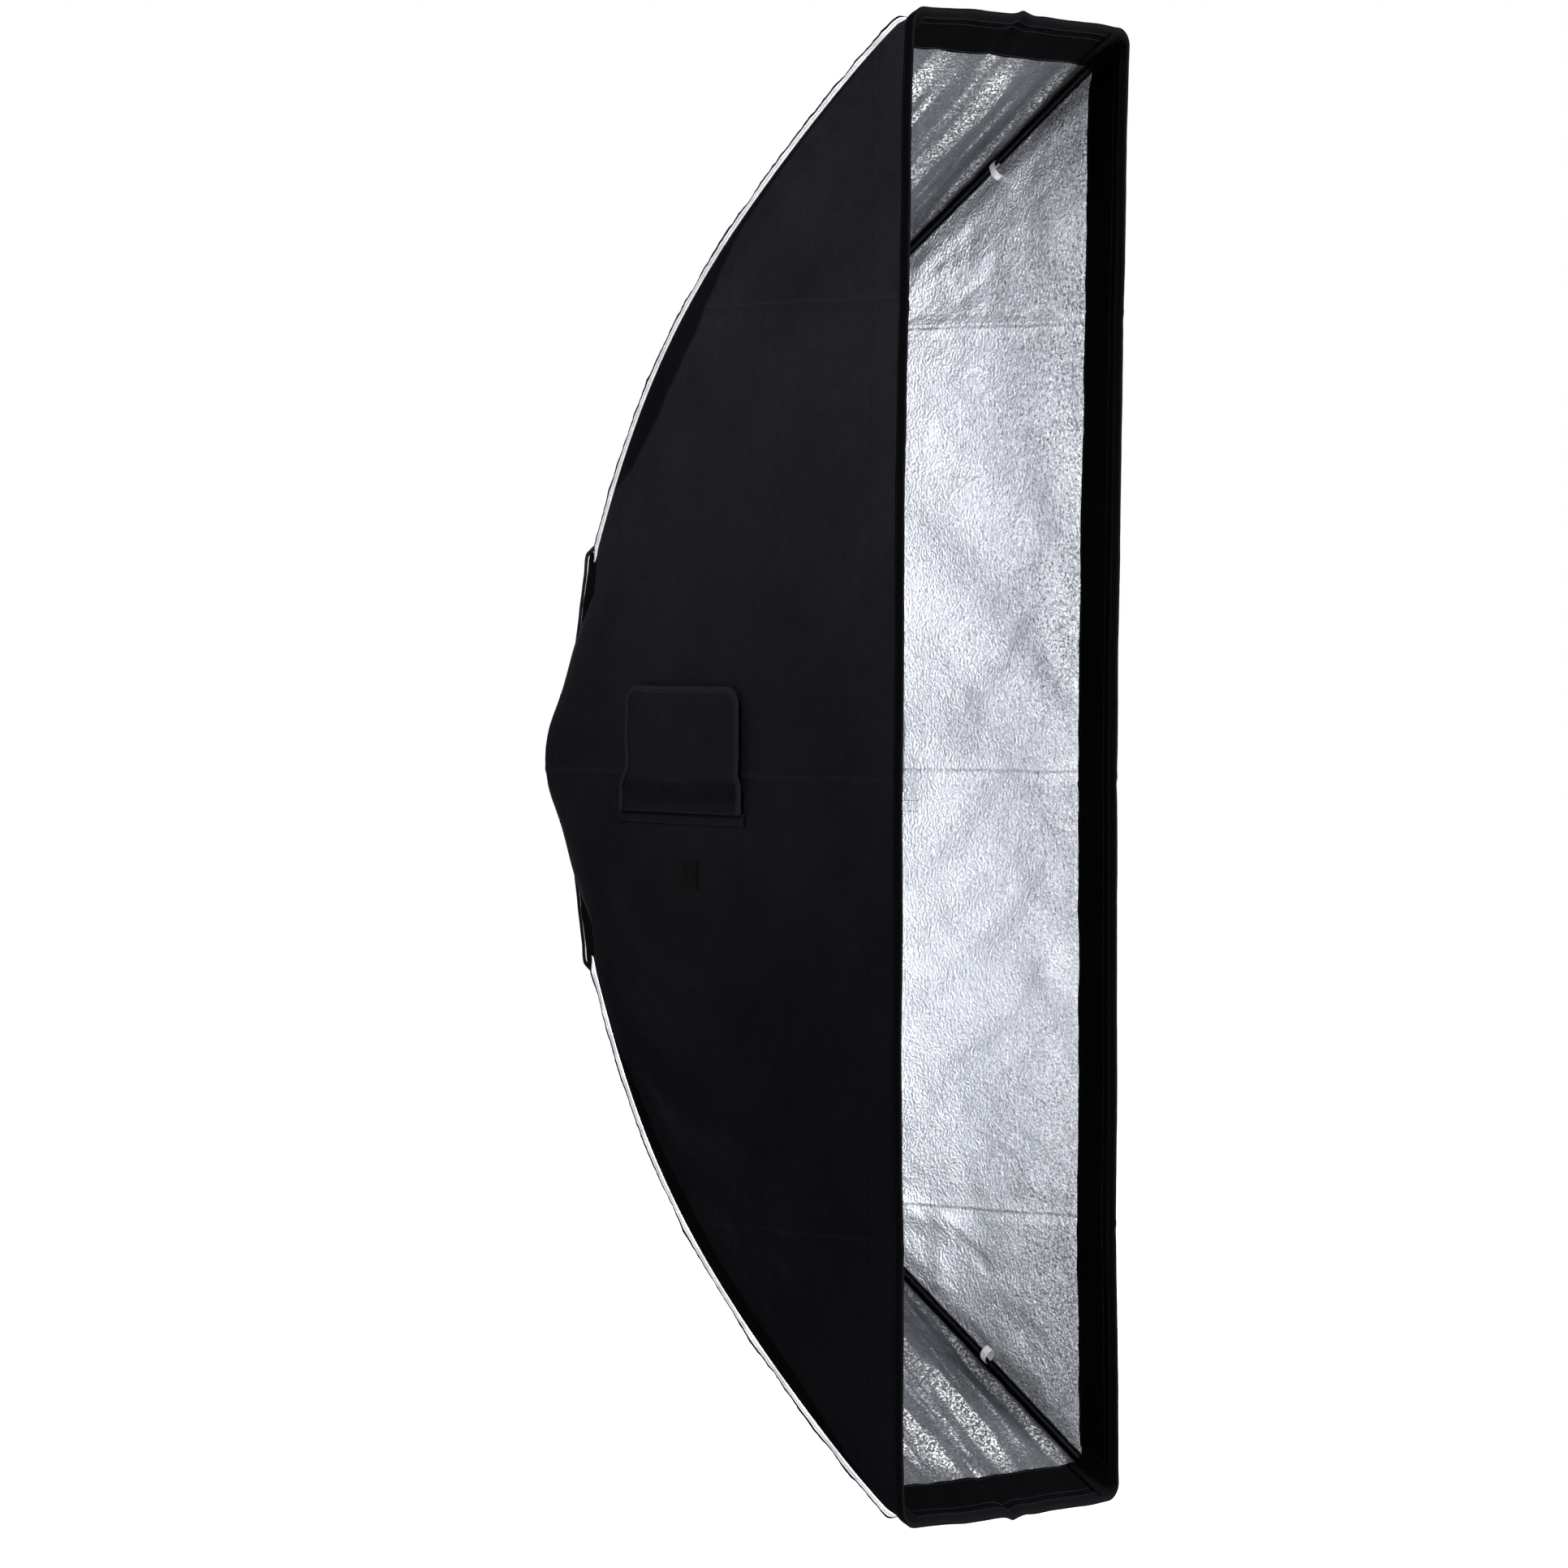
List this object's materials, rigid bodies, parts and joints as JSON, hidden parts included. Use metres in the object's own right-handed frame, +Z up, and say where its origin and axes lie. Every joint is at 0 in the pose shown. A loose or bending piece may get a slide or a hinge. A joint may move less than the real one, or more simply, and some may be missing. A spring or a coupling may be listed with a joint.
{
  "type": "strip softbox",
  "caption": "Tall narrow fabric light modifier with a silver-lined chamber, flexed corner rods, vent flaps and a rotating bayonet speed ring that spreads a flash into a strip of soft light.",
  "frame": {"origin": "centre of the lamp bore, at the rear face of the speed ring", "axes": "+Z up along the long side, +Y backwards towards the lamp along the bore, open front faces -Y, +X to the right for a viewer in front"},
  "size_m": [0.3958, 0.7225, 1.7996],
  "materials": {
    "outer_cloth": "matte black coated woven cloth with a faint sheen",
    "silver_lining": "metallic silver coated cloth with an embossed pebble grain",
    "piping": "silver cloth edge strip, stitched",
    "binding": "black ribbed binding tape",
    "hook_loop": "black hook-and-loop tape, dull and fuzzy",
    "white_elastic": "white woven elastic",
    "pocket": "black webbing",
    "patch": "black woven patch",
    "rod": "black coated spring steel",
    "rod_cap": "matte black rubber",
    "pin_steel": "plain steel, lightly worn",
    "ring": "black powder coat on cast aluminium",
    "insert": "turned aluminium, clear anodised",
    "clip": "pressed steel",
    "screw": "plated steel",
    "knob": "black moulded plastic"
  },
  "bodies": {
    "insert": {"ring_insert": "insert"},
    "softbox": {"bottom_lining": "silver_lining", "bottom_panel": "outer_cloth", "clip_screws": "screw", "closure_loop_strips": "hook_loop", "corner_pocket_lower_left": "pocket", "corner_pocket_lower_right": "pocket", "corner_pocket_upper_left": "pocket", "corner_pocket_upper_right": "pocket", "front_hem_binding": "binding", "lip_band_bottom": "hook_loop", "lip_band_left": "hook_loop", "lip_band_right": "hook_loop", "lip_band_top": "hook_loop", "ring_body": "ring", "rod_end_pins": "pin_steel", "rod_loop_lower_left": "white_elastic", "rod_loop_lower_right": "white_elastic", "rod_loop_upper_left": "white_elastic", "rod_loop_upper_right": "white_elastic", "rod_lower_left": "rod", "rod_lower_right": "rod", "rod_tip_caps": "rod_cap", "rod_upper_left": "rod", "rod_upper_right": "rod", "seam_piping_lower_left": "piping", "seam_piping_lower_right": "piping", "seam_piping_upper_left": "piping", "seam_piping_upper_right": "piping", "sewn_patch": "patch", "side_lining_left": "silver_lining", "side_lining_right": "silver_lining", "side_panel_left": "outer_cloth", "side_panel_right": "outer_cloth", "top_lining": "silver_lining", "top_panel": "outer_cloth", "vent_hem_left": "outer_cloth", "vent_hem_right": "outer_cloth", "vent_loop_strips_left": "hook_loop", "vent_loop_strips_right": "hook_loop"},
    "vent_flap_left_body": {"vent_flap_left": "outer_cloth", "vent_flap_binding_left": "binding", "vent_hook_tabs_left": "hook_loop"},
    "vent_flap_right_body": {"vent_flap_right": "outer_cloth", "vent_flap_binding_right": "binding", "vent_hook_tabs_right": "hook_loop"},
    "closure_flap_top_body": {"closure_flap_top": "outer_cloth", "closure_hook_tabs_top": "hook_loop"},
    "closure_flap_bottom_body": {"closure_flap_bottom": "outer_cloth", "closure_hook_tabs_bottom": "hook_loop"},
    "clip_1": {"insert_clip_1": "clip"},
    "clip_2": {"insert_clip_2": "clip"},
    "clip_3": {"insert_clip_3": "clip"},
    "knob": {"lock_knob": "knob"},
    "shoe": {"lock_shoe": "clip"}
  },
  "joints": [
    {"name": "ring_rotation", "type": "hinge", "parent": "insert", "child": "softbox", "pos_m": [0, 0, 0], "axis": [0, 1, 0], "continuous": true},
    {"name": "vent_flap_left_hinge", "type": "hinge", "parent": "softbox", "child": "vent_flap_left_body", "pos_m": [-0.14315, -0.26767, -0.0632], "axis": [-0.2293, -0.9733, 0], "range_deg": [0, 120]},
    {"name": "vent_flap_right_hinge", "type": "hinge", "parent": "softbox", "child": "vent_flap_right_body", "pos_m": [0.14315, -0.26767, -0.0632], "axis": [-0.2293, 0.9733, 0], "range_deg": [0, 120]},
    {"name": "closure_flap_top_hinge", "type": "hinge", "parent": "softbox", "child": "closure_flap_top_body", "pos_m": [0, -0.0742, 0.25928], "axis": [1, 0, 0], "range_deg": [0, 70]},
    {"name": "closure_flap_bottom_hinge", "type": "hinge", "parent": "softbox", "child": "closure_flap_bottom_body", "pos_m": [0, -0.0742, -0.25928], "axis": [-1, 0, 0], "range_deg": [0, 70]},
    {"name": "insert_clip_1_swing", "type": "hinge", "parent": "softbox", "child": "clip_1", "pos_m": [0, 0, 0.083], "axis": [0, 1, 0], "range_deg": [0, 90]},
    {"name": "insert_clip_2_swing", "type": "hinge", "parent": "softbox", "child": "clip_2", "pos_m": [-0.07188, 0, -0.0415], "axis": [0, 1, 0], "range_deg": [0, 90]},
    {"name": "insert_clip_3_swing", "type": "hinge", "parent": "softbox", "child": "clip_3", "pos_m": [0.07188, 0, -0.0415], "axis": [0, -1, 0], "range_deg": [0, 90]},
    {"name": "lock_knob_turn", "type": "hinge", "parent": "softbox", "child": "knob", "pos_m": [0, 0, -0.083], "axis": [0, 1, 0], "range_deg": [0, 225]},
    {"name": "lock_shoe_clamp", "type": "slide", "parent": "softbox", "child": "shoe", "axis": [0, -1, 0], "range_m": [0, 0.0005]}
  ],
  "couplings": [
    {"joint": "lock_shoe_clamp", "follows": "lock_knob_turn", "m_per_rad": 0.00012732}
  ]
}
